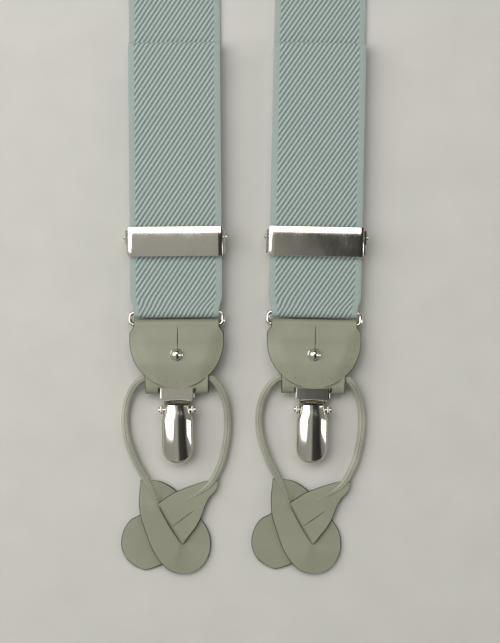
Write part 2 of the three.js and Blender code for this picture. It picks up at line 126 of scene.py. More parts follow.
def spline(points: Sequence[Sequence[float]], count: int) -> list[Vector]:
    """Resamples a smooth curve through points to evenly spaced places.

    Args:
        points: the points that the curve passes through.
        count: how many places to give.

    Returns:
        The places, the first and last being the curve's ends.
    """
    known = [Vector(tuple(p) + (0.0,) * (3 - len(p))) for p in points]
    padded = [2 * known[0] - known[1], *known, 2 * known[-1] - known[-2]]
    fine: list[Vector] = []
    for a, b, c, d in zip(padded, padded[1:], padded[2:], padded[3:]):
        for i in range(12):
            t = i / 12
            fine.append(0.5 * (2 * b + (c - a) * t + (2 * a - 5 * b + 4 * c - d) * t * t
                               + (3 * b - a - 3 * c + d) * t ** 3))
    fine.append(known[-1])
    return even(fine, count)


def even(line: Sequence[Vector], count: int) -> list[Vector]:
    """Gives count evenly spaced places along a polyline."""
    runs = [0.0]
    for a, b in zip(line, line[1:]):
        runs.append(runs[-1] + (b - a).length)
    places, at = [], 0
    for i in range(count):
        want = runs[-1] * i / (count - 1)
        while at < len(line) - 2 and runs[at + 1] < want:
            at += 1
        span = runs[at + 1] - runs[at]
        places.append(line[at].lerp(line[at + 1], (want - runs[at]) / span if span else 0.0))
    return places


def mesh_object(name: str, points: Sequence[Vector], faces: Sequence[tuple[int, ...]]) -> bpy.types.Object:
    """Makes an object and links it to the scene.

    Args:
        name: the new object's name.
        points: its vertices.
        faces: the indices of each face's vertices.

    Returns:
        The object.
    """
    mesh = bpy.data.meshes.new(name)
    mesh.from_pydata(points, [], faces)
    made = bpy.data.objects.new(name, mesh)
    bpy.context.scene.collection.objects.link(made)
    return made


def grid_object(name: str, rows: Rows, uvs: list[list[Point]] | None = None, closed: bool = False) -> bpy.types.Object:
    """Makes a mesh of quads through rows of points.

    Args:
        name: the new object's name.
        rows: rows of points, all of one length.
        uvs: a UV place for each point, or None.
        closed: True where each row joins its own start, as on a tube.

    Returns:
        The new object, in the points' own units.
    """
    wide = len(rows[0])
    points = [p for row in rows for p in row]
    faces = [(i * wide + j, i * wide + (j + 1) % wide, (i + 1) * wide + (j + 1) % wide, (i + 1) * wide + j)
             for i in range(len(rows) - 1) for j in range(wide if closed else wide - 1)]
    made = mesh_object(name, points, faces)
    if uvs:
        layer = made.data.uv_layers.new(name="UVMap")
        flat = [uv for row in uvs for uv in row]
        for loop in made.data.loops:
            layer.data[loop.index].uv = flat[loop.vertex_index]
    return made


def only(made: bpy.types.Object) -> None:
    """Selects one object and makes it active."""
    bpy.ops.object.select_all(action="DESELECT")
    made.select_set(True)
    bpy.context.view_layer.objects.active = made


def apply_modifiers(made: bpy.types.Object) -> None:
    """Applies every modifier on an object, in order."""
    only(made)
    for name in [m.name for m in made.modifiers]:
        bpy.ops.object.modifier_apply(modifier=name)


def clean(made: bpy.types.Object, distance: float = 0.004) -> None:
    """Merges doubled points and turns the faces outwards."""
    only(made)
    bpy.ops.object.mode_set(mode="EDIT")
    bpy.ops.mesh.select_all(action="SELECT")
    bpy.ops.mesh.remove_doubles(threshold=distance)
    bpy.ops.mesh.normals_make_consistent(inside=False)
    bpy.ops.object.mode_set(mode="OBJECT")


def cap(made: bpy.types.Object) -> None:
    """Closes the open ends of a tube."""
    only(made)
    bpy.ops.object.mode_set(mode="EDIT")
    bpy.ops.mesh.select_all(action="SELECT")
    bpy.ops.mesh.region_to_loop()
    bpy.ops.mesh.edge_face_add()
    bpy.ops.object.mode_set(mode="OBJECT")


def soften(made: bpy.types.Object, width: float, segments: int = 2) -> bpy.types.Modifier:
    """Adds a bevel to an object's sharp edges.

    Args:
        made: the object.
        width: the bevel's width in the object's own units.
        segments: how many faces it has across.

    Returns:
        The bevel, still to be applied.
    """
    soft = made.modifiers.new("soft", "BEVEL")
    soft.width, soft.segments = width, segments
    soft.limit_method, soft.angle_limit = "ANGLE", math.radians(50)
    return soft


def thicken(made: bpy.types.Object, thick: float, bevel: float = 0.14) -> None:
    """Gives a sheet its thickness, an edge finish on the rim and softened edges.

    Args:
        made: the sheet, a surface with no thickness.
        thick: its thickness in its own units.
        bevel: the width of the softened edge, or 0 for none.
    """
    clean(made)
    wall = made.modifiers.new("wall", "SOLIDIFY")
    wall.thickness, wall.offset, wall.material_offset_rim = thick, 0, 1
    if bevel:
        soft = soften(made, bevel)
        soft.material = len(made.data.materials) - 1
        soft.use_clamp_overlap = False
    apply_modifiers(made)


def ink(made: bpy.types.Object, finishes: "Finishes", thick: float) -> None:
    """Makes a sheet leather of a thickness, with a dark finish that turns over its edges."""
    made.data.materials.append(finishes.leather)
    made.data.materials.append(finishes.edge)
    thicken(made, thick, INKED)


def dress(made: bpy.types.Object, *finishes: bpy.types.Material, smooth_deg: float = 40) -> None:
    """Gives an object its materials and smooth shading."""
    if not made.data.materials:
        for finish in finishes:
            made.data.materials.append(finish)
    only(made)
    bpy.ops.object.shade_smooth_by_angle(angle=math.radians(smooth_deg))


def settle(made: bpy.types.Object, matrix: Matrix, body: str, slot: str, *nodes: str) -> bpy.types.Object:
    """Moves a finished piece into the row frame and lets it ride on its body.

    Args:
        made: the piece, in its end's own millimetres.
        matrix: the matrix to the row frame.
        body: the CAD body it rides on.
        slot: the name of a material slot; not used.
        nodes: the CAD nodes it stands for.

    Returns:
        The piece.
    """
    made.data.transform(matrix)
    made.data.update()
    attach(made, body)
    if nodes:
        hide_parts(*nodes)
    LOG.info("made %s on %s", made.name, body)
    return made


def settle_at(made: bpy.types.Object, side: Side, body: str, slot: str, *nodes: str) -> None:
    """Settles a piece of one end; body and nodes leave out the end's own word."""
    settle(made, end_matrix(side), f"{body}_{side.label}", slot, *(f"{node}_{side.label}" for node in nodes))


def join(name: str, parts: Iterable[bpy.types.Object]) -> bpy.types.Object:
    """Joins objects into one of the given name."""
    pieces = list(parts)
    only(pieces[0])
    for piece in pieces:
        piece.select_set(True)
    bpy.ops.object.join()
    pieces[0].name = name
    pieces[0].data.name = name
    return pieces[0]


# ---------------------------------------------------------------- finishes


def linear(red: int, green: int, blue: int) -> tuple[float, float, float, float]:
    """Turns an sRGB colour of 0 to 255 into linear light."""
    return tuple(c / 12.92 if c <= 0.04045 else ((c + 0.055) / 1.055) ** 2.4
                 for c in (red / 255, green / 255, blue / 255)) + (1.0,)


class Tree:
    """A shader node tree with short ways to add and join nodes."""

    def __init__(self, tree: bpy.types.NodeTree) -> None:
        """Keeps the tree and empties it."""
        self.tree = tree
        tree.nodes.clear()

    def feed(self, socket: bpy.types.NodeSocket, value: object) -> None:
        """Links a socket to an input, or sets the input to a constant."""
        if isinstance(value, bpy.types.NodeSocket):
            self.tree.links.new(value, socket)
        else:
            socket.default_value = value

    def add(self, kind: str, settings: dict[str, object] | None = None, **sockets: object) -> bpy.types.Node:
        """Adds a node.

        Args:
            kind: the node's type name without the word ShaderNode.
            settings: attributes to set on the node.
            sockets: inputs by name, with an underscore for a space.

        Returns:
            The node.
        """
        node = self.tree.nodes.new(kind if kind.startswith("Node") else "ShaderNode" + kind)
        for key, value in (settings or {}).items():
            setattr(node, key, value)
        for key, value in sockets.items():
            self.feed(node.inputs[key.replace("_", " ")], value)
        return node

    def math(self, operation: str, *terms: object) -> bpy.types.NodeSocket:
        """Adds a math node over sockets or numbers and gives its output."""
        node = self.add("Math", {"operation": operation})
        for socket, term in zip(node.inputs, terms):
            self.feed(socket, term)
        return node.outputs[0]

    def step(self, value: object, low: float, high: float) -> bpy.types.NodeSocket:
        """Gives a smooth step of a value between two others."""
        return self.add("MapRange", {"interpolation_type": "SMOOTHSTEP"}, Value=value, From_Min=low,
                        From_Max=high).outputs[0]

    def noise(self, place: object, scale: float, detail: float) -> bpy.types.NodeSocket:
        """Adds a noise texture over a place and gives its value."""
        return self.add("TexNoise", Vector=place, Scale=scale, Detail=detail).outputs[0]

    def blend(self, share: object, first: object, second: object) -> bpy.types.NodeSocket:
        """Mixes two colours by a share and gives the result."""
        node = self.add("Mix", {"data_type": "RGBA"})
        for index, value in ((0, share), (6, first), (7, second)):
            self.feed(node.inputs[index], value)
        return node.outputs[2]


def new_group(name: str, inputs: dict[str, object],
              outputs: Sequence[str]) -> tuple[Tree, bpy.types.Node, bpy.types.Node]:
    """Makes a shader group with named sockets.

    Args:
        name: the group's name.
        inputs: default values by socket name, None for a vector.
        outputs: names of the float outputs.

    Returns:
        The tree, its input node and its output node.
    """
    made = bpy.data.node_groups.new(name, "ShaderNodeTree")
    for key, value in inputs.items():
        kind = "NodeSocketVector" if value is None else "NodeSocketFloat"
        socket = made.interface.new_socket(name=key, in_out="INPUT", socket_type=kind)
        if value is not None:
            socket.default_value = value
    for key in outputs:
        made.interface.new_socket(name=key, in_out="OUTPUT", socket_type="NodeSocketFloat")
    tree = Tree(made)
    return tree, tree.add("NodeGroupInput"), tree.add("NodeGroupOutput")


def weave_group() -> bpy.types.NodeTree:
    """Makes the group for diagonal ribs of webbing between two plain edges, in millimetres across and along; its Shade
    output is partly the twill's own pattern and partly painted shade in the grooves and painted highlight on the ribs.
    """
    tree, given, out = new_group("weave", {"Place": None, "Pitch": 1.8, "Slope": 1.48, "Half": 17.5, "Edge": 2.4},
                                 ("Height", "Shade"))
    place = tree.add("SeparateXYZ", Vector=given.outputs["Place"])
    across, along = place.outputs[0], place.outputs[1]
    drift = tree.noise(given.outputs["Place"], 0.35, 3.0)
    turn = tree.math("DIVIDE", tree.math("SUBTRACT", across, tree.math("DIVIDE", along, given.outputs["Slope"])),
                     given.outputs["Pitch"])
    phase = tree.math("MULTIPLY", tree.math("ADD", turn, tree.math("MULTIPLY", drift, 0.12)), math.tau)
    rib = tree.math("MULTIPLY_ADD", tree.math("SINE", phase), 0.5, 0.5)
    rows = tree.math("SINE", tree.math("MULTIPLY", along, math.tau / 0.62))
    columns = tree.math("SINE", tree.math("MULTIPLY", tree.math("ADD", across, tree.math("MULTIPLY", along, 0.5)),
                                          math.tau / 0.6))
    fine = tree.math("MULTIPLY_ADD", tree.math("MULTIPLY", rows, columns), 0.5, 0.5)
    dirt = tree.noise(given.outputs["Place"], 2.2, 4.0)
    inner = tree.math("ADD", tree.math("MULTIPLY", rib, 0.72), tree.math("MULTIPLY", fine, 0.28))
    plain = tree.math("MULTIPLY_ADD", fine, 0.3, 0.42)
    from_edge = tree.math("SUBTRACT", given.outputs["Half"], tree.math("ABSOLUTE", across))
    mask = tree.step(tree.math("DIVIDE", from_edge, given.outputs["Edge"]), 0.85, 1.1)
    # The colour follows the rib height: the darker grooves are painted shade and the lighter ribs painted highlight,
    # partly the twill's own pattern.
    cloth = tree.math("ADD", tree.math("MULTIPLY", inner, mask),
                      tree.math("MULTIPLY", plain, tree.math("SUBTRACT", 1.0, mask)))
    tree.feed(out.inputs["Height"], cloth)
    tree.feed(out.inputs["Shade"], tree.math("MULTIPLY_ADD", tree.math("SUBTRACT", dirt, 0.5), 0.5, cloth))
    return tree.tree


def grain_group() -> bpy.types.NodeTree:
    """Makes the group for fine leather grain with slow changes of tone, in row-frame metres."""
    tree, given, out = new_group("grain", {"Place": None, "Size": 900.0}, ("Height", "Tone"))
    cells = tree.add("TexVoronoi", {"feature": "SMOOTH_F1"}, Vector=given.outputs["Place"],
                     Scale=given.outputs["Size"]).outputs["Distance"]
    fine = tree.noise(given.outputs["Place"], 3200.0, 3.0)
    slow = tree.noise(given.outputs["Place"], 55.0, 4.0)
    tree.feed(out.inputs["Height"], tree.math("ADD", tree.math("MULTIPLY", cells, 0.6),
                                              tree.math("MULTIPLY", fine, 0.4)))
    tree.feed(out.inputs["Tone"], tree.math("ADD", tree.math("MULTIPLY", slow, 0.75),
                                            tree.math("MULTIPLY", fine, 0.25)))
    return tree.tree


def wear_group() -> bpy.types.NodeTree:
    """Makes the group for handling marks on polished metal: fine scratches and cloudy patches."""
    tree, given, out = new_group("wear", {"Place": None, "Least": 0.06, "Most": 0.2}, ("Roughness", "Height"))
    cloud = tree.noise(given.outputs["Place"], 120.0, 5.0)
    long = tree.add("Mapping", Vector=given.outputs["Place"], Scale=(9000.0, 260.0, 260.0)).outputs[0]
    scratch = tree.noise(long, 1.0, 2.0)
    mixed = tree.math("MULTIPLY", cloud, scratch)
    tree.feed(out.inputs["Roughness"], tree.add("MapRange", Value=mixed, From_Min=0.12, From_Max=0.45,
              To_Min=given.outputs["Least"], To_Max=given.outputs["Most"]).outputs[0])
    tree.feed(out.inputs["Height"], scratch)
    return tree.tree


@dataclass(frozen=True)
class Finish:
    """A surface finish that a shader material is made from."""

    name: str
    light: tuple[int, int, int]
    dark: tuple[int, int, int]
    roughness: float = 0.6
    metal: float = 0.0
    relief: float = 0.0  # depth of the bump in millimetres

    def start(self, group: bpy.types.NodeTree,
              space: str = "Object") -> tuple[Tree, bpy.types.Node, bpy.types.Node, bpy.types.Material]:
        """Makes the material with its principled shader and a group placed by a texture space.

        Args:
            group: the shared effect.
            space: the texture coordinate that places it.

        Returns:
            The tree, the shader, the group's node and the material.
        """
        made = bpy.data.materials.new(self.name)
        made.use_nodes = True
        made.diffuse_color = linear(*self.light)
        tree = Tree(made.node_tree)
        shader = tree.add("BsdfPrincipled")
        shader.inputs["Base Color"].default_value = linear(*self.light)
        shader.inputs["Roughness"].default_value = self.roughness
        shader.inputs["Metallic"].default_value = self.metal
        tree.feed(tree.add("OutputMaterial").inputs["Surface"], shader.outputs[0])
        effect = tree.add("Group", {"node_tree": group}, Place=tree.add("TexCoord").outputs[space])
        return tree, shader, effect, made

    def shade(self, tree: Tree, shader: bpy.types.Node, share: object, height: object) -> None:
        """Feeds the colour between dark and light and the bump from a height."""
        colour = tree.blend(share, linear(*self.dark), linear(*self.light))
        tree.feed(shader.inputs["Base Color"], colour)
        bump = tree.add("Bump", Height=height, Strength=1.0, Distance=self.relief * MM)
        tree.feed(shader.inputs["Normal"], bump.outputs[0])

    def grained(self, group: bpy.types.NodeTree) -> bpy.types.Material:
        """Makes a leather material with the grain group."""
        tree, shader, grain, made = self.start(group)
        self.shade(tree, shader, grain.outputs["Tone"], grain.outputs["Height"])
        return made

    def woven(self, group: bpy.types.NodeTree) -> bpy.types.Material:
        """Makes a webbing material with the weave group, placed by the piece's own UV in millimetres."""
        tree, shader, weave, made = self.start(group, "UV")
        # The weave's Shade output paints shade into the grooves and highlight onto the ribs.
        self.shade(tree, shader, weave.outputs["Shade"], weave.outputs["Height"])
        shader.inputs["Sheen Weight"].default_value = 0.25
        shader.inputs["Specular IOR Level"].default_value = 0.25
        return made

    def polished(self, group: bpy.types.NodeTree) -> bpy.types.Material:
        """Makes a metal material with the wear group."""
        tree, shader, wear, made = self.start(group)
        tree.feed(shader.inputs["Roughness"], wear.outputs["Roughness"])
        bump = tree.add("Bump", Height=wear.outputs["Height"], Strength=0.3, Distance=self.relief * MM)
        tree.feed(shader.inputs["Normal"], bump.outputs[0])
        return made

    def seamed(self, group: bpy.types.NodeTree, dot: float, pitch: float) -> bpy.types.Material:
        """Makes a rolled leather material with a stitched groove down its top.

        Args:
            group: the grain group.
            dot: half the length of one stitch hole.
            pitch: the distance between holes.

        Returns:
            The material; the piece's UV is millimetres round from its top and along.
        """
        tree, shader, grain, made = self.start(group)
        place = tree.add("SeparateXYZ", Vector=tree.add("TexCoord").outputs["UV"])
        off = tree.math("ABSOLUTE", place.outputs[0])
        groove = tree.step(off, 0.08, 0.34)
        beat = tree.math("ABSOLUTE", tree.math("SUBTRACT", tree.math("FRACT", tree.math(
            "DIVIDE", place.outputs[1], pitch)), 0.5))
        hole = tree.step(tree.math("ADD", tree.math("MULTIPLY", off, 1.6), beat), dot * 0.5, dot * 1.5)
        share = tree.math("MULTIPLY", grain.outputs["Tone"], tree.math("MULTIPLY_ADD", hole, 0.9, 0.1))
        height = tree.math("ADD", tree.math("MULTIPLY", groove, 1.6), tree.math("ADD", hole, grain.outputs["Height"]))
        self.shade(tree, shader, share, height)
        return made


class Finishes:
    """The materials of the suspenders, made once and shared."""

    def __init__(self) -> None:
        """Makes the shared effects and every material."""
        weave, grain, wear = weave_group(), grain_group(), wear_group()
        # The webbing's colour runs from the dark of the grooves, which is painted shade, to the light of the ribs,
        # partly painted highlight.
        self.webbing = Finish("webbing", (201, 215, 208), (86, 102, 99), 0.85, relief=0.3).woven(weave)
        self.leather = Finish("leather", (157, 158, 137), (130, 130, 110), 0.5, relief=0.035).grained(grain)
        self.edge = Finish("cut_edge", (44, 43, 38), (22, 22, 20), 0.6, relief=0.08).grained(grain)
        self.rolled = Finish("rolled_leather", (206, 205, 184), (96, 96, 82), 0.5, relief=0.16).seamed(grain, 0.12, 1.7)
        self.nickel = Finish("nickel", (222, 218, 206), (150, 148, 140), 0.1, 1.0, relief=0.004).polished(wear)
        self.thread = Finish("thread", (120, 121, 106), (84, 84, 72), 0.8, relief=0.05).grained(grain)
        self.pad = Finish("pad", (60, 60, 57), (30, 30, 28), 0.8, relief=0.06).grained(grain)
        self.floor = Finish("floor", (214, 212, 204), (198, 196, 188), 0.9, relief=0.01).grained(grain)


# ---------------------------------------------------------------- shapes shared by the ends


def sheet_rows(path: Sequence[Point], half_width: Callable[[float], float], count: int,
               columns: int) -> tuple[Rows, list[list[Point]]]:
    """Gives rows of points for a sheet that follows a path in the YZ plane.

    Args:
        path: (Y, Z) places along the sheet's middle surface.
        half_width: half the sheet's width at a Y.
        count: rows along the path, or 0 for one row at each place.
        columns: points across.

    Returns:
        The rows of points and their UV places in millimetres.
    """
    line = [Vector((0.0, y, z)) for y, z in path]
    line = even(line, count) if count else line
    rows, uvs, run = [], [], 0.0
    for i, at in enumerate(line):
        run += (at - line[i - 1]).length if i else 0.0
        half = half_width(at.y)
        xs = [-half + 2 * half * j / (columns - 1) for j in range(columns)]
        rows.append([Vector((x, at.y, at.z)) for x in xs])
        uvs.append([(x, run) for x in xs])
    return rows, uvs


def plan(rows: Rows) -> list[list[Point]]:
    """Gives each point of some rows its own X and Y as its UV."""
    return [[(at.x, at.y) for at in row] for row in rows]


def length_of(line: Sequence[Vector]) -> float:
    """Gives the length of a line of points."""
    return sum((b - a).length for a, b in zip(line, line[1:]))


def tube(name: str, line: Sequence[Vector], radius: float | Callable[[float], float], around: int = 20,
         closed: bool = False) -> bpy.types.Object:
    """Sweeps a circle along a line.

    Args:
        name: the new object's name.
        line: the centre line.
        radius: the radius, or a function of the share of the run.
        around: points round the circle.
        closed: True where the line ends at its start.

    Returns:
        The tube, with UVs of millimetres round from its top and along its run.
    """
    rows, uvs, run = [], [], 0.0
    last = len(line) - 1
    for i, at in enumerate(line):
        before = line[i - 1] if i or closed else at
        after = line[(i + 1) % len(line)] if i < last or closed else at
        along = (after - before).normalized()
        side = along.cross(Vector((0, 0, 1))).normalized()
        up = side.cross(along).normalized()
        size = radius(i / last) if callable(radius) else radius
        run += (at - line[i - 1]).length if i else 0.0
        turns = [math.tau * j / around for j in range(around)]
        rows.append([at + size * (side * math.sin(t) + up * math.cos(t)) for t in turns])
        uvs.append([(size * (t if t <= math.pi else t - math.tau), run) for t in turns])
    if closed:
        rows.append(rows[0])
        uvs.append(uvs[0])
    made = grid_object(name, rows, uvs, closed=True)
    if not closed:
        cap(made)
    clean(made, 0.001)
    return made


def lathe(name: str, profile: Sequence[Point], place: Vector, axis: str = "Z", steps: int = 32) -> bpy.types.Object:
    """Turns a profile of (radius, height) about an axis through a place."""
    rows = []
    for radius, height in profile:
        ring = []
        for j in range(steps):
            turn = math.tau * j / steps
            flat = (radius * math.cos(turn), radius * math.sin(turn))
            ring.append(place + (Vector((*flat, height)) if axis == "Z" else Vector((height, *flat))))
        rows.append(ring)
    made = grid_object(name, rows, closed=True)
    clean(made, 0.001)
    return made


def dots(name: str, places: Iterable[Vector], radius: float) -> bpy.types.Object:
    """Makes one mesh of small low domes, such as needle holes, at places on an upper face."""
    rows, faces = [], []
    for at in places:
        start = len(rows)
        rows += [at + Vector((radius * math.cos(math.tau * j / 10), radius * math.sin(math.tau * j / 10), -0.02))
                 for j in range(10)]
        rows.append(at + Vector((0, 0, 0.035)))
        faces += [(start + j, start + (j + 1) % 10, start + 10) for j in range(10)]
    return mesh_object(name, rows, faces)


def cut(made: bpy.types.Object, cutter: bpy.types.Object) -> None:
    """Takes a cutter's shape out of an object and removes the cutter."""
    step = made.modifiers.new("cut", "BOOLEAN")
    step.object, step.operation, step.solver = cutter, "DIFFERENCE", "EXACT"
    apply_modifiers(made)
    bpy.data.objects.remove(cutter, do_unlink=True)


def post_cutter(radius: float, x: float, y: float) -> bpy.types.Object:
    """Adds an upright round cutter through everything at a place."""
    bpy.ops.mesh.primitive_cylinder_add(vertices=32, radius=radius, depth=40, location=(x, y, 5))
    return bpy.context.object


def slit_cutter(ends: tuple[Point, Point], gap: float, low: float = -4.0) -> bpy.types.Object:
    """Makes an upright lens-shaped cutter for a slit.

    Args:
        ends: the slit's two ends.
        gap: half its greatest width.
        low: the height of the cutter's foot.

    Returns:
        The cutter, whose faces take the second material of what it cuts.
    """
    (ax, ay), (bx, by) = ends
    size = math.hypot(bx - ax, by - ay)
    nx, ny = -(by - ay) / size, (bx - ax) / size
    outline = []
    for sign, steps in ((1, range(0, 25)), (-1, range(23, 0, -1))):
        for i in steps:
            t = i / 24
            wide = sign * gap * math.sin(math.pi * t) ** 0.5
            outline.append((ax + (bx - ax) * t + nx * wide, ay + (by - ay) * t + ny * wide))
    rows = [[Vector((x, y, z)) for x, y in outline] for z in (low, low + 16)]
    made = grid_object("slit_cutter", rows, closed=True)
    cap(made)
    clean(made, 0.001)
    for finish in (bpy.data.materials["leather"], bpy.data.materials["cut_edge"]):
        made.data.materials.append(finish)
    for face in made.data.polygons:
        face.material_index = 1
    return made


def box_piece(name: str, low: Sequence[float], high: Sequence[float], bevel: float = 0.12) -> bpy.types.Object:
    """Adds a box between two corners with softened edges."""
    middle = [(a + b) / 2 for a, b in zip(low, high)]
    bpy.ops.mesh.primitive_cube_add(size=1, location=middle)
    made = bpy.context.object
    made.scale = [b - a for a, b in zip(low, high)]
    bpy.ops.object.transform_apply(location=True, rotation=True, scale=True)
    made.name = made.data.name = name
    if bevel:
        soft = made.modifiers.new("soft", "BEVEL")
        soft.width, soft.segments = bevel, 3
        apply_modifiers(made)
    return made


# ---------------------------------------------------------------- straps


@dataclass
class Straps:
    """The three elastic straps: front ones folded flat on themselves, and the rear one."""

    finishes: Finishes
    width: float = 35.0
    pinched: float = 32.6
    fold_top: float = 105.0
    fold_low: float = 9.0
    tail: float = 42.0
    patch: float = 290.0
    merge: float = 115.0
    rise: float = 22.0
    seam: float = 22.0
    target: float = 9.0
    rear_run: float = 110.0

    def ring_wrap(self) -> list[Point]:
        """Gives a strap's path from its tail round the ring's upper bar and back over itself."""
        return [(self.tail, LAYERS.tail), (self.fold_low + 4, LAYERS.tail),
                (LAYERS.bar + 2, LAYERS.ring - LAYERS.wrap),
                *arc(LAYERS.bar, LAYERS.ring, LAYERS.wrap, -90, -270, 18), (self.fold_low, LAYERS.front)]

    def front_path(self, layer: int) -> list[Point]:
        """Gives a front strap's path in YZ from its tail to the patch, for layer 0 or 1 of the patch."""
        top, low = (LAYERS.front - LAYERS.middle) / 2, (LAYERS.middle - LAYERS.low) / 2
        seam = LAYERS.low + 1.2 * (layer + 1)
        start = self.patch - self.merge
        slope = [(start + self.rise * i / 8, LAYERS.low + (seam - LAYERS.low) * smooth(i / 8)) for i in range(9)]
        return [*self.ring_wrap(),
                *arc(self.fold_top - top, (LAYERS.front + LAYERS.middle) / 2, top, 90, -90, 16),
                *arc(self.fold_low + low, (LAYERS.middle + LAYERS.low) / 2, low, 90, 270, 12),
                *slope, (self.patch + self.seam, seam)]

    def rear_path(self) -> list[Point]:
        """Gives the rear strap's path in YZ, from its tail to the patch."""
        seam = LAYERS.low + 1.2
        slope = [(self.tail + 4 + 16 * i / 8, LAYERS.front + (seam - LAYERS.front) * smooth(i / 8)) for i in range(9)]
        return [*self.ring_wrap(), *slope, (self.rear_run + self.seam, seam)]

    def half_width(self, y: float) -> float:
        """Gives half the strap's width at a Y: narrower where it passes the ring."""
        return (self.pinched + (self.width - self.pinched) * smooth((abs(y) - 3.5) / 5)) / 2

    def make(self, side: Side) -> None:
        """Makes one strap and lays it in place."""
        ring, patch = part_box("ring_" + side.label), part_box("patch_back")
        centre = ((ring[0].x + ring[1].x) - (patch[0].x + patch[1].x)) / 2 / MM
        layer = 1 if side is Side.RIGHT else 0
        path = self.rear_path() if side is Side.REAR else self.front_path(layer)
        rows, uvs = sheet_rows(path, self.half_width, 560, 15)
        uvs = [[(u / self.half_width(r[0].y) * self.width / 2, v) for u, v in line] for line, r in zip(uvs, rows)]
        if side is not Side.REAR:
            want = self.target * (1 if side is Side.RIGHT else -1)
            for row in rows:
                y = row[0].y
                aim = (want - centre + y * math.sin(side.turn)) / math.cos(side.turn)
                shift = aim * smooth((y - self.patch + self.merge) / self.merge)
                for at in row:
                    at.x += shift
        made = grid_object("webbing_" + side.label, rows, uvs)
        thicken(made, 0.86, 0.1)
        dress(made, self.finishes.webbing)
        settle(made, end_matrix(side), "root", "webbing", "strap_" + side.label)


# ---------------------------------------------------------------- leather ends


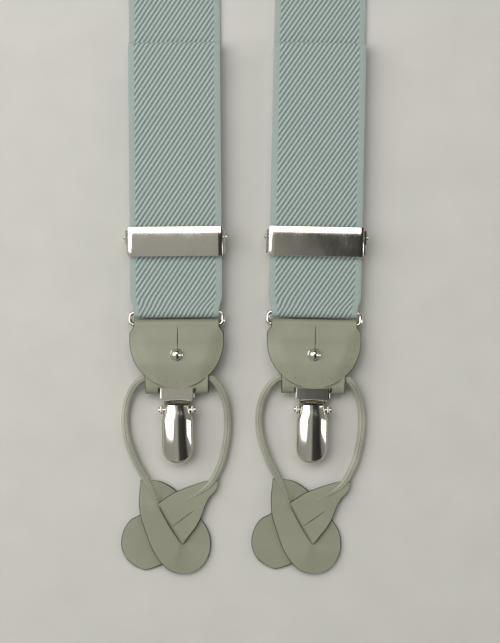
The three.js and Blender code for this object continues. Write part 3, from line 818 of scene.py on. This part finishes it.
@dataclass
class LeatherEnd:
    """One end's ring, buttoned flap with its slit, backing, folded clip tab and ball stud."""

    finishes: Finishes
    radius: float = 17.9
    straight: float = 8.5
    neck: float = 16.3
    stud_y: float = -13.7
    tab_width: float = 25.0
    tab_thick: float = 0.7
    bar_y: float = -26.0
    hole_inset: float = 2.3
    hole_pitch: float = 3.45
    slit_x: float = 0.4

    def half_width(self, y: float, inset: float = 0.0) -> float:
        """Gives half the flap's width at a Y, from its neck to its round end."""
        if y > -self.straight:
            return self.neck + (self.radius - self.neck) * smooth((-y - 2.9) / 2.8) - inset
        reach = y + self.straight
        return math.sqrt(max(0.0, (self.radius - inset) ** 2 - reach * reach))

    def droop(self, x: float, y: float) -> float:
        """Gives how far the flap sinks towards its edge at a place, clear of what it lies on."""
        out = max(abs(x), math.hypot(x, min(0.0, y + self.straight)))
        share = 0.4 + 0.6 * smooth((abs(x) - 7.5) / 4.5)
        return share * (1.15 * smooth((out - 11.5) / 7.0) + 0.25 * smooth((out - 15) / 3))

    def round_end(self, inset: float, height: Callable[[float], float]) -> list[Point]:
        """Gives the places in YZ down the leather's round end, close together at its tip."""
        radius = self.radius - inset
        ys = [-self.straight - radius * math.sin(math.pi / 2 * i / 44) for i in range(45)]
        return [(y, height(y)) for y in ys]

    def flap_height(self, y: float) -> float:
        """Gives the height of the flap's middle surface along its centre."""
        return 5.55 + 0.75 * smooth((-y - 2) / 7) if y > -9 else 6.3 + 1.35 * smooth((-y - 9) / 9)

    def flap_rows(self) -> tuple[Rows, list[list[Point]]]:
        """Gives the flap's rows from under the ring, round its lower bar and down to the round end."""
        wrap = [(-6.5, LAYERS.ring - LAYERS.wrap), *arc(-LAYERS.bar, LAYERS.ring, LAYERS.wrap, -90, 90, 16)]
        wrap += [(y, self.flap_height(y)) for y in (-3.5, -5.0, -6.5, -7.5)]
        start = even([Vector((0.0, y, z)) for y, z in wrap], 60)
        path = [(p.y, p.z) for p in start] + self.round_end(0.0, self.flap_height)
        rows, uvs = sheet_rows(path, self.half_width, 0, 53)
        for row in rows:
            for at in row:
                if at.z > LAYERS.ring:
                    at.z -= self.droop(at.x, at.y) * smooth((-at.y - 3) / 6)
        return rows, uvs

    def flap(self, side: Side) -> None:
        """Makes the flap with its slit, stud hole and needle holes."""
        made = grid_object("leather_flap_" + side.label, *self.flap_rows())
        ink(made, self.finishes, LAYERS.leather)
        cut(made, slit_cutter(((self.slit_x, -2.6), (self.slit_x, -12.4)), 0.14, LAYERS.ring))
        cut(made, post_cutter(1.15, 0, self.stud_y))
        dress(made, smooth_deg=50)
        settle_at(made, side, "end", "leather", "flap")
        holes = dots("flap_holes_" + side.label, self.hole_places(), 0.21)
        dress(holes, self.finishes.edge)
        settle_at(holes, side, "end", "leather")

    def hole_places(self) -> list[Vector]:
        """Gives the needle holes round the flap, just inside its edge."""
        inner = self.radius - self.hole_inset
        line = [Vector((-inner, -4.9, 0)), Vector((-inner, -self.straight, 0))]
        line += [Vector((inner * math.cos(a), -self.straight + inner * math.sin(a), 0))
                 for a in (math.pi + math.pi * i / 40 for i in range(1, 40))]
        line += [Vector((inner, -self.straight, 0)), Vector((inner, -4.9, 0))]
        places = even(line, int(length_of(line) / self.hole_pitch) + 1)
        for at in places:
            at.z = self.flap_height(at.y) - self.droop(at.x, at.y) * smooth((-at.y - 3) / 6) + LAYERS.leather / 2
        return places

    def backing(self, side: Side) -> None:
        """Makes the backing leather under the flap."""
        path = [(-2.6 - 0.5 * i, LAYERS.backing) for i in range(12)] + self.round_end(0.2, lambda y: LAYERS.backing)
        rows, uvs = sheet_rows(path, lambda y: self.half_width(y, 0.2), 0, 41)
        made = grid_object("leather_backing_" + side.label, rows, uvs)
        ink(made, self.finishes, LAYERS.leather)
        cut(made, post_cutter(1.15, 0, self.stud_y))
        dress(made, smooth_deg=50)
        settle_at(made, side, "end", "leather", "backing")

    def clip_tab(self, side: Side) -> None:
        """Makes the tab that folds round the clip's bar."""
        fold = (LAYERS.tab_high - LAYERS.tab_low) / 2
        path = [(-9.5, LAYERS.tab_high - 1.6), (-18.0, LAYERS.tab_high),
                *arc(self.bar_y - 0.2, (LAYERS.tab_high + LAYERS.tab_low) / 2, fold, 90, 270, 16),
                (-9.5, LAYERS.tab_low)]
        rows, uvs = sheet_rows(path, lambda y: self.tab_width / 2 - 0.5 * smooth((-y - 10) / 18), 60, 31)
        made = grid_object("leather_tab_" + side.label, rows, uvs)
        ink(made, self.finishes, self.tab_thick)
        cut(made, post_cutter(1.15, 0, self.stud_y))
        cut(made, box_piece("notch", (-7.2, -33, LAYERS.cord - 0.9), (7.2, self.bar_y, LAYERS.tab_high + 2), 0))
        dress(made, smooth_deg=50)
        settle_at(made, side, "end", "leather", "clip_tab")

    def metal(self, side: Side) -> None:
        """Makes the ring and the ball stud with its screw."""
        half, bar, corner = 17.7, LAYERS.bar, 1.5
        line = []
        for x, y, start in ((half - corner, bar - corner, 0), (-half + corner, bar - corner, 90),
                            (-half + corner, -bar + corner, 180), (half - corner, -bar + corner, 270)):
            line += [Vector((x + corner * math.cos(a), y + corner * math.sin(a), LAYERS.ring))
                     for a in (math.radians(start + 90 * i / 10) for i in range(11))]
        made = tube("polished_ring_" + side.label, line, 0.8, 20, closed=True)
        dress(made, self.finishes.nickel, smooth_deg=60)
        settle_at(made, side, "end", "nickel", "ring")
        top = 7.4
        profile = [(0.01, 0.7), (0.9, 0.7), (0.9, top), (1.3, top + 0.15), (2.1, top + 0.2), (2.36, top + 0.4),
                   (2.36, top + 0.62)]
        profile += [(2.15 * math.cos(a) + 0.02, top + 0.75 + 2.0 * math.sin(a))
                    for a in (math.radians(9 * i) for i in range(11))]
        stud = lathe("ball_stud_" + side.label, profile, Vector((0, self.stud_y, 0)))
        dress(stud, self.finishes.nickel, smooth_deg=50)
        settle_at(stud, side, "end", "nickel", "stud")

    def make(self, side: Side) -> None:
        """Makes every piece of one leather end but its loop and clip."""
        self.flap(side)
        self.backing(side)
        self.clip_tab(side)
        self.metal(side)


# ---------------------------------------------------------------- rolled loop and button tabs


class TabKind(Enum):
    """The two button tabs of an end: one lies over the other, and passes down through its slit."""

    OVER = "left"
    THROUGH = "right"


@dataclass
class ButtonLoop:
    """One end's rolled leather loop, whose flattened ends are two button tabs passed one through the other."""

    finishes: Finishes
    diameter: float = 2.9
    leaf: float = 0.9
    gap: float = 0.75
    hole_inset: float = 2.0
    hole_pitch: float = 2.8
    route: tuple[tuple[float, float, float], ...] = (
        (-13.1, -60.2, 1.6), (-15.6, -55.6, 1.6), (-17.7, -50.8, 1.6), (-19.4, -45.6, 1.6), (-20.1, -40.8, 1.6),
        (-20.1, -36.3, 1.7), (-19.1, -31.3, 2.1), (-17.2, -27.2, 3.0), (-14.8, -24.2, 4.1), (-12, -22.7, 4.35),
        (-6, -22.6, 4.35), (0, -22.6, 4.35), (6, -22.6, 4.35), (12, -22.7, 4.35), (14.6, -24.3, 4.1),
        (16.8, -27.6, 3.0), (18.5, -32.2, 2.1), (19.2, -38, 1.7), (19.1, -43.6, 1.6), (18.3, -49.1, 1.6),
        (16.9, -54.7, 1.6), (14.4, -60.4, 1.6))
    over: tuple[Point, ...] = (
        (-14.5, -61.6), (-15.1, -69.8), (-14.6, -75.4), (-12.7, -81.5), (-10.2, -88.2), (-6.6, -93.8), (-2.9, -96.8),
        (1.5, -97.7), (6, -96.8), (9.3, -94.3), (11.6, -90.4), (12.2, -86), (11.3, -81.5), (8.5, -76.8),
        (4.6, -71.6), (-0.7, -66.2), (-4.1, -63.7), (-7.4, -62.2), (-11, -61.9))
    through: tuple[Point, ...] = (
        (15.4, -62.3), (14.6, -65.6), (12, -68.6), (10.2, -72), (8.5, -76.5), (6.5, -80.1), (3.7, -83.7),
        (1.5, -86.8), (-2, -91), (-6.3, -94.1), (-12.2, -96.3), (-15.8, -95.4), (-19.4, -92.9), (-21.6, -89.3),
        (-22.2, -85.4), (-21.1, -80.9), (-18.6, -77.3), (-14.9, -75.2), (-7.7, -70.6), (-4.1, -68.1), (-0.7, -66.2),
        (6, -63.7), (10.4, -62.4), (13, -62.2))
    slit: tuple[Point, Point] = ((-8.0, -70.6), (1.5, -86.8))
    hidden_slit: tuple[Point, Point] = ((6.0, -73.4), (-2.7, -79.8))

    def along(self, x: float, y: float) -> tuple[float, float, float]:
        """Gives a place's run along the crossing slit, its offset to the right of it, and the slit's length."""
        (ax, ay), (bx, by) = self.slit
        size = math.hypot(bx - ax, by - ay)
        ux, uy = (bx - ax) / size, (by - ay) / size
        return (x - ax) * ux + (y - ay) * uy, -((x - ax) * uy - (y - ay) * ux), size

    def height(self, kind: TabKind, x: float, y: float) -> float:
        """Gives the height of a tab's middle surface, which passes over or through at the crossing slit."""
        run, off, size = self.along(x, y)
        past = max(0.0, -run, run - size)
        near = smooth((-y - 60.5) / 7)
        if kind is TabKind.THROUGH:
            level = 0.62 + 1.45 * smooth((off + 1.6) / 3.2)
            return 1.62 + (level - 1.62) * near
        spread = 1.6 + 1.5 * past
        level = 0.72 + 1.5 * (1 - smooth(0.5 + off / (2 * spread)))
        return 1.62 + (level - 1.62) * near

    def tab(self, side: Side, kind: TabKind) -> None:
        """Makes one button tab, its slit and its needle holes."""
        outline = self.over if kind is TabKind.OVER else self.through
        border = spline(outline, 181)
        one, other = border[:91], list(reversed(border[90:]))
        rows = [[a.lerp(b, j / 44) for j in range(45)] for a, b in zip(one, other)]
        for at in (at for row in rows for at in row):
            at.z = self.height(kind, at.x, at.y)
        word = kind.value
        made = grid_object(f"leather_{word}_tab_{side.label}", rows, plan(rows))
        ink(made, self.finishes, self.leaf)
        if kind is TabKind.OVER:
            cut(made, slit_cutter(self.slit, self.gap))
        else:
            cut(made, slit_cutter(self.hidden_slit, 0.12))
        dress(made, smooth_deg=50)
        settle_at(made, side, "end", "leather", "button_tab_" + word)
        inner, centre = [], sum(border, Vector()) / len(border)
        for before, at, after in zip(border, border[2:], border[4:]):
            way = (after - before).normalized()
            left = Vector((-way.y, way.x, 0))
            side_in = left if left.dot(centre - at) > 0 else -left
            inner.append(at + side_in * self.hole_inset)
        places = even(inner[8:-8], int(length_of(inner) / self.hole_pitch))
        for at in places:
            at.z = self.height(kind, at.x, at.y) + self.leaf / 2
        holes = dots(f"{word}_tab_holes_{side.label}", places, 0.16)
        dress(holes, self.finishes.thread)
        settle_at(holes, side, "end", "leather")

    def flare(self, side: Side, kind: TabKind) -> None:
        """Makes the tapered roll that carries the loop on to a tab's face and dies out there."""
        over = ((-14.4, -58.0), (-13.1, -60.2), (-11.3, -63.4), (-9.6, -66.6), (-8.3, -69.6), (-7.4, -72.2))
        through = ((15.4, -58.2), (14.4, -60.4), (12.3, -63.4), (9.2, -66.0), (5.4, -68.0), (1.6, -69.6))
        line = spline(over if kind is TabKind.OVER else through, 40)
        radius = self.diameter / 2
        for i, at in enumerate(line):
            share = i / (len(line) - 1)
            face = self.height(kind, at.x, at.y) + self.leaf / 2
            at.z = 1.6 + (face - 1.6) * smooth((share - 0.2) / 0.6) - 0.2 * smooth((share - 0.7) / 0.3)
        made = tube(f"loop_{kind.value}_flare_{side.label}", line,
                    lambda share: radius * (0.985 - 0.86 * smooth((share - 0.15) / 0.85)), 20)
        dress(made, self.finishes.rolled, smooth_deg=60)
        settle_at(made, side, "end", "leather")

    def cord(self, side: Side) -> None:
        matrix = end_matrix(side)
        line = spline(self.route, 140)
        made = tube("rolled_loop_" + side.label, line, self.diameter / 2, 24)
        dress(made, self.finishes.rolled, smooth_deg=60)
        settle_at(made, side, "end", "leather", "loop_cord")
        path = [matrix @ at for at in line]
        tuple(path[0])
        round(length_of(path), 4)
        [tuple(at) for at in path]


# ---------------------------------------------------------------- clips


@dataclass
class Clip:
    """One lever clip: a plate with its neck and bar, a domed lever on a pin, a jaw and its pad."""

    finishes: Finishes
    pin_y: float = -34.7
    pin_z: float = 5.8
    top: float = -32.9
    end: float = -55.2
    half: float = 6.0
    neck: float = 4.7
    rim: float = 4.3
    crown: float = 8.9

    def lever_half(self, y: float) -> float:
        """Gives half the lever's width at a Y, from its neck to its rounded end."""
        if y > -44:
            return self.neck + (self.half - self.neck) * smooth((self.top - y) / 6.5)
        share = min(1.0, (y + 48) / (self.end + 48)) if y < -48 else 0.0
        return self.half * (1 - share ** 2.6) ** 0.5

    def lever(self, side: Side) -> None:
        """Makes the lever as a hollow dome with an opening at its pivot."""
        rows = []
        count, columns = 64, 41
        for i in range(count):
            y = self.top + (self.end - self.top) * math.sin(math.pi / 2 * i / (count - 1)) ** 1.15
            half = max(0.02, self.lever_half(y))
            run = (self.top - y) / (self.top - self.end)
            lift = (1 - run ** 5) ** 0.6 * (0.86 + 0.14 * smooth(run / 0.25))
            row = []
            for j in range(columns):
                turn = math.pi * (j / (columns - 1) - 0.5)
                rise = math.cos(turn) ** 0.72
                high = self.rim + 0.3 + (self.crown - self.rim - 0.3) * lift * rise
                row.append(Vector((half * math.sin(turn), y, high)))
            rows.append(row)
        made = grid_object("domed_lever_" + side.label, rows, plan(rows))
        clean(made)
        wall = made.modifiers.new("wall", "SOLIDIFY")
        wall.thickness, wall.offset = 0.55, -1
        soften(made, 0.16, 3)
        apply_modifiers(made)
        dress(made, self.finishes.nickel, smooth_deg=60)
        settle_at(made, side, "clip_lever", "nickel", "clip_lever")

    def body(self, side: Side) -> None:
        """Makes the plate that rises to a neck and the bar, with its ears, and the pin."""
        widths = [(-26.0, 6.5), (-30.4, 6.5), (-31.6, 5.1), (-33.0, 4.9), (-33.4, 5.0), (-36.4, 5.0), (-37.2, 4.6),
                  (-51.6, 4.6), (-53.6, 3.6), (-54.6, 2.3)]

        def half_width(y: float) -> float:
            """Gives half the plate's width at a Y."""
            for (a, wide), (b, narrow) in zip(widths, widths[1:]):
                if y >= b:
                    return wide + (narrow - wide) * (a - y) / (a - b)
            return widths[-1][1]

        path = [(-26.0, LAYERS.cord), (-30.6, LAYERS.cord)]
        path += [(-30.6 - 4 * i / 8, LAYERS.cord - (LAYERS.cord - 2) * smooth(i / 8)) for i in range(1, 9)]
        path.append((-54.6, 2.0))
        rows, uvs = sheet_rows(path, half_width, 120, 21)
        plate = grid_object("clip_plate", rows, uvs)
        thicken(plate, 0.8, 0.15)
        bpy.ops.mesh.primitive_cylinder_add(vertices=32, radius=0.72, depth=13, location=(0, -26, LAYERS.cord),
                                            rotation=(0, math.pi / 2, 0))
        bar = bpy.context.object
        ears = [box_piece("ear", (s * 5.9 - 0.4, -36.2, 1.7), (s * 5.9 + 0.4, -33.2, 7.2), 0.25) for s in (-1, 1)]
        made = join("clip_plate_" + side.label, [plate, bar, *ears])
        made.data.materials.clear()
        dress(made, self.finishes.nickel, smooth_deg=45)
        settle_at(made, side, "clip", "nickel", "clip_body")
        profile = [(0.01, -7.3), (0.7, -7.28), (1.1, -7.05), (1.15, -6.65), (0.7, -6.6), (0.7, 6.6), (1.15, 6.65),
                   (1.1, 7.05), (0.7, 7.28), (0.01, 7.3)]
        pin = lathe("riveted_pin_" + side.label, profile, Vector((0, self.pin_y, self.pin_z)), "X")
        dress(pin, self.finishes.nickel, smooth_deg=50)
        settle_at(pin, side, "clip", "nickel", "clip_pin")

    def make(self, side: Side) -> None:
        """Makes the clip's lever, plate and pin."""
        self.lever(side)
        self.body(side)


# ---------------------------------------------------------------- adjusters


@dataclass
class Adjuster:
    """A sliding adjuster: a plate with ears under the strap, a curved cover and the pin it turns on."""

    finishes: Finishes
    middle: float = 29.2
    tall: float = 11.2
    half: float = 17.9
    hinge_rise: float = 1.6
    pin_z: float = 6.55

    def cover(self, side: Side) -> None:
        """Makes the curved cover with its turned-down cheeks and lip."""
        low = self.middle - self.tall / 2
        rows = []
        for i in range(33):
            t = i / 32
            y = low + self.tall * t
            z = 7.5 + 1.15 * math.sin(math.pi * (0.06 + 0.74 * t)) ** 0.8
            row = []
            for j in range(61):
                x = self.half * (2 * j / 60 - 1)
                side_drop = 0.3 * smooth((abs(x) - self.half + 1.6) / 1.6) ** 2
                row.append(Vector((x, y, z - side_drop)))
            rows.append(row)
        top = grid_object("cover_top", rows, plan(rows))
        clean(top)
        wall = top.modifiers.new("wall", "SOLIDIFY")
        wall.thickness, wall.offset = 0.7, 0
        soften(top, 0.25, 4)
        apply_modifiers(top)
        hinge = self.middle + self.hinge_rise
        cheeks = [box_piece("cheek", (s * 17.3 - 0.35, hinge - 2, self.pin_z - 0.2),
                            (s * 17.3 + 0.35, hinge + 1.3, 8.2), 0.12) for s in (-1, 1)]
        lip = box_piece("lip", (-self.half + 2, low + 0.6, 6.0), (self.half - 2, low + 1.2, 7.8), 0.1)
        made = join("curved_cover_" + side.label, [top, *cheeks, lip])
        dress(made, self.finishes.nickel, smooth_deg=50)
        settle_at(made, side, "adjuster_lever", "nickel", "adjuster_cover")

    def pin(self, side: Side) -> None:
        """Makes the pin with its round heads."""
        place = Vector((0, self.middle + self.hinge_rise, self.pin_z))
        profile = [(0.01, -19.85), (0.6, -19.8), (0.98, -19.5), (0.98, -19.22), (0.55, -19.2), (0.55, 19.2),
                   (0.98, 19.22), (0.98, 19.5), (0.6, 19.8), (0.01, 19.85)]
        made = lathe("adjuster_rivet_" + side.label, profile, place, "X")
        dress(made, self.finishes.nickel, smooth_deg=50)
        settle_at(made, side, "adjuster", "nickel", "adjuster_pin")


# ---------------------------------------------------------------- Y patch


@dataclass
class Patch:
    """The leather Y patch where the straps meet: its stitched rows over the CAD leaves."""

    finishes: Finishes
    inset: float = 2.6

    def make(self) -> None:
        """Makes the rows of stitches round the patch's front."""
        low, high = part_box("patch_front")
        centre_x, start_y = (low.x + high.x) / 2 / MM, low.y / MM
        wide, narrow, long = 29.0 - self.inset, 20.5 - self.inset, 60.0
        half = [(0.0, 2.6 + self.inset), (wide - 6, self.inset + 0.6), (wide, 5 + self.inset), (wide - 0.6, 14),
                (wide - 5.4, 27), (narrow, 37), (narrow, long - self.inset - 2), (narrow - 3, long - self.inset),
                (0.0, long - self.inset)]
        ring = half + [(-x, y) for x, y in reversed(half[1:-1])]
        line = spline([*ring, ring[0]], 90)
        stitches = []
        for i in range(0, 88, 2):
            a, b = line[i], line[i + 1]
            middle = (a + b) / 2
            lift = Vector((centre_x, start_y, high.z / MM + 0.1))
            sunk = lift - Vector((0, 0, 0.16))
            path = spline([a + sunk, middle + lift + Vector((0, 0, 0.05)), b + sunk], 7)
            stitches.append(tube("stitch", path, 0.2, 8))
        made = join("patch_stitches", stitches)
        dress(made, self.finishes.thread, smooth_deg=60)
        settle(made, Matrix.Scale(MM, 4), "root", "leather")


# ---------------------------------------------------------------- studio


@dataclass
class Studio:
    """The camera over the front ends, the plain floor and soft lights with one dark side for the metal."""

    finishes: Finishes
    lens: float = 70.6
    aside: Point = (0.00173, -0.00114)

    def middle(self) -> Vector:
        """Gives the point halfway between the front ends, in metres."""
        return (end_matrix(Side.LEFT).translation + end_matrix(Side.RIGHT).translation) / 2

    def camera(self) -> None:
        """Places the camera straight above the front ends, but for a small step aside."""
        middle = self.middle()
        place = (middle.x + self.aside[0], middle.y + self.aside[1], (CAMERA_HEIGHT + 5) * MM)
        bpy.ops.object.camera_add(location=place, rotation=(0, 0, 0))
        camera = bpy.context.object
        camera.data.lens = self.lens
        camera.data.clip_start = 0.01
        bpy.context.scene.camera = camera

    def light(self, name: str, place: Sequence[float], aim: Sequence[float], size: Point, power: float) -> None:
        """Adds an area light that faces a place.

        Args:
            name: the light's name.
            place: where it stands, in metres from the front ends.
            aim: where it points, in the same way.
            size: its width and height in metres.
            power: its power in watts.
        """
        start, target = self.middle() + Vector(place), self.middle() + Vector(aim)
        turn = (target - start).to_track_quat("-Z", "Y").to_euler()
        bpy.ops.object.light_add(type="AREA", location=start, rotation=turn)
        made = bpy.context.object
        made.name = name
        made.data.shape, made.data.size, made.data.size_y = "RECTANGLE", size[0], size[1]
        made.data.energy = power

    def make(self) -> None:
        """Lays the floor and sets the lights and the surroundings."""
        bpy.ops.mesh.primitive_plane_add(size=6, location=(0, 0, -0.0003))
        floor = bpy.context.object
        floor.name = "floor"
        dress(floor, self.finishes.floor)
        self.light("key", (-0.55, 0.15, 0.6), (0, 0, 0), (0.7, 0.9), 4.6)
        self.light("overhead", (0.0, 0.5, 0.9), (0, 0.05, 0), (0.8, 0.5), 3.4)
        self.light("edge", (0.75, -0.1, 0.3), (0, 0, 0), (0.15, 0.7), 1.2)
        world = bpy.data.worlds.new("studio")
        world.use_nodes = True
        tree = Tree(world.node_tree)
        way = tree.add("SeparateXYZ", Vector=tree.add("TexCoord").outputs["Generated"])
        ramp = tree.add("ValToRGB", Fac=tree.math("MULTIPLY_ADD", way.outputs[0], 0.5, 0.5))
        ramp.color_ramp.elements[0].position, ramp.color_ramp.elements[0].color = 0.0, (0.55, 0.55, 0.53, 1)
        ramp.color_ramp.elements[1].position, ramp.color_ramp.elements[1].color = 1.0, (0.5, 0.5, 0.5, 1)
        for place, grey in ((0.40, 0.62), (0.49, 0.75), (0.53, 0.09), (0.76, 0.05), (0.86, 0.45)):
            ramp.color_ramp.elements.new(place).color = (grey, grey * 0.99, grey * 0.95, 1)
        back = tree.add("Background", Color=ramp.outputs[0])
        back.inputs["Strength"].default_value = 0.55
        tree.feed(tree.add("OutputWorld").inputs["Surface"], back.outputs[0])
        bpy.context.scene.world = world
        bpy.context.scene.view_settings.view_transform = "Standard"


def dress_cad(finishes: Finishes) -> None:
    """Gives the CAD nodes that stay in view their finish and softened edges."""
    for name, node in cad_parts.items():
        if node.hide_render:
            continue
        kind = ("webbing" if name.startswith("strap") else "pad" if name.startswith("jaw_pad")
                else "leather" if name.startswith(("patch", "backing", "flap", "button", "loop", "clip_tab"))
                else "nickel")
        node.data.materials.clear()
        node.data.materials.append(getattr(finishes, kind))
        if not name.startswith("strap"):
            soften(node, 0.12 * MM).angle_limit = math.radians(40)
        LOG.info("dressed %s as %s", name, kind)


def main() -> None:
    """Builds the suspenders, camera and cords first, and reports each piece."""
    logging.basicConfig(level=logging.INFO, format="%(name)s: %(message)s")
    finishes = Finishes()
    studio = Studio(finishes)
    studio.camera()
    loop = ButtonLoop(finishes)
    for side in Side:
        loop.cord(side)
    straps, leather, clip, adjuster = Straps(finishes), LeatherEnd(finishes), Clip(finishes), Adjuster(finishes)
    for side in Side:
        straps.make(side)
        leather.make(side)
        clip.make(side)
        for kind in TabKind:
            loop.tab(side, kind)
            loop.flare(side, kind)
        if side is not Side.REAR:
            adjuster.cover(side)
            adjuster.pin(side)
    Patch(finishes).make()
    dress_cad(finishes)
    studio.make()


if __name__ == "__main__":
    main()
